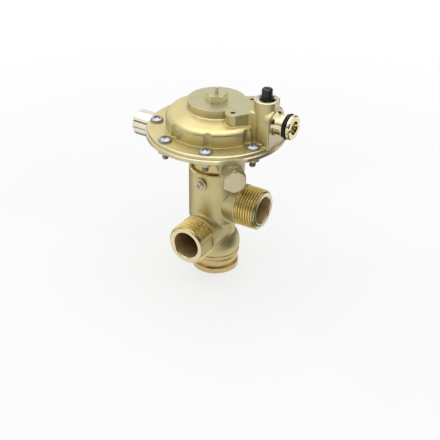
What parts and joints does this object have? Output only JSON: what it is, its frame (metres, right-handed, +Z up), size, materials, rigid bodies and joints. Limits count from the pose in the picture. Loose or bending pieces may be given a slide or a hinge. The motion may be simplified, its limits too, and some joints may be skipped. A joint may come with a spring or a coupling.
{
  "type": "diverter valve",
  "caption": "Brass boiler diverter valve with a screwed diaphragm chamber, threaded side ports, a flow regulator and a sliding spindle that opens one seat as it closes the other.",
  "frame": {"origin": "centre of the bottom port's end face, on the spindle axis", "axes": "+Z up the spindle axis towards the diaphragm chamber, +X towards the upper threaded port and the outlet spigot, -Y towards the lower threaded port"},
  "size_m": [0.1139, 0.088, 0.1343],
  "materials": {
    "cast_brass": "satin as-cast and blasted",
    "turned_brass": "bright turned",
    "steel": "zinc plated",
    "rubber": "matt",
    "black_plastic": "moulded",
    "fibre": "pressed fibre"
  },
  "bodies": {
    "valve": {"valve_body": "cast_brass", "lower_housing": "cast_brass", "upper_cover": "cast_brass", "cover_screws": "steel", "lock_screw": "steel", "hex_plug": "turned_brass", "plug_washer": "fibre", "inlet_tube": "turned_brass", "outlet_spigot": "turned_brass", "spigot_ring": "rubber", "regulator_circlip": "steel", "diaphragm": "rubber", "lower_seat_ring": "turned_brass", "gland_nut": "turned_brass", "gland_seal": "rubber", "stem_gland": "turned_brass", "stem_seal": "rubber", "neck_rings": "rubber", "return_spring": "steel"},
    "spindle": {"switch_pin": "steel", "valve_stem": "steel", "upper_plate": "steel", "lower_plate": "steel", "diaphragm_nut": "steel", "stem_clips": "steel", "upper_disc": "turned_brass", "upper_disc_seal": "rubber", "lower_disc": "turned_brass", "lower_disc_seal": "rubber"},
    "regulator": {"flow_regulator": "black_plastic", "regulator_ring": "rubber"}
  },
  "joints": [
    {"name": "spindle_slide", "type": "slide", "parent": "valve", "child": "spindle", "axis": [0, 0, 1], "range_m": [0, 0.004], "stiffness_N_per_m": 400, "springref_m": -0.006, "deforming": ["diaphragm", "return_spring"]},
    {"name": "regulator_turn", "type": "hinge", "parent": "valve", "child": "regulator", "pos_m": [0.0352, 0, 0.127], "axis": [0, 0, 1], "range_deg": [-90, 90]}
  ]
}
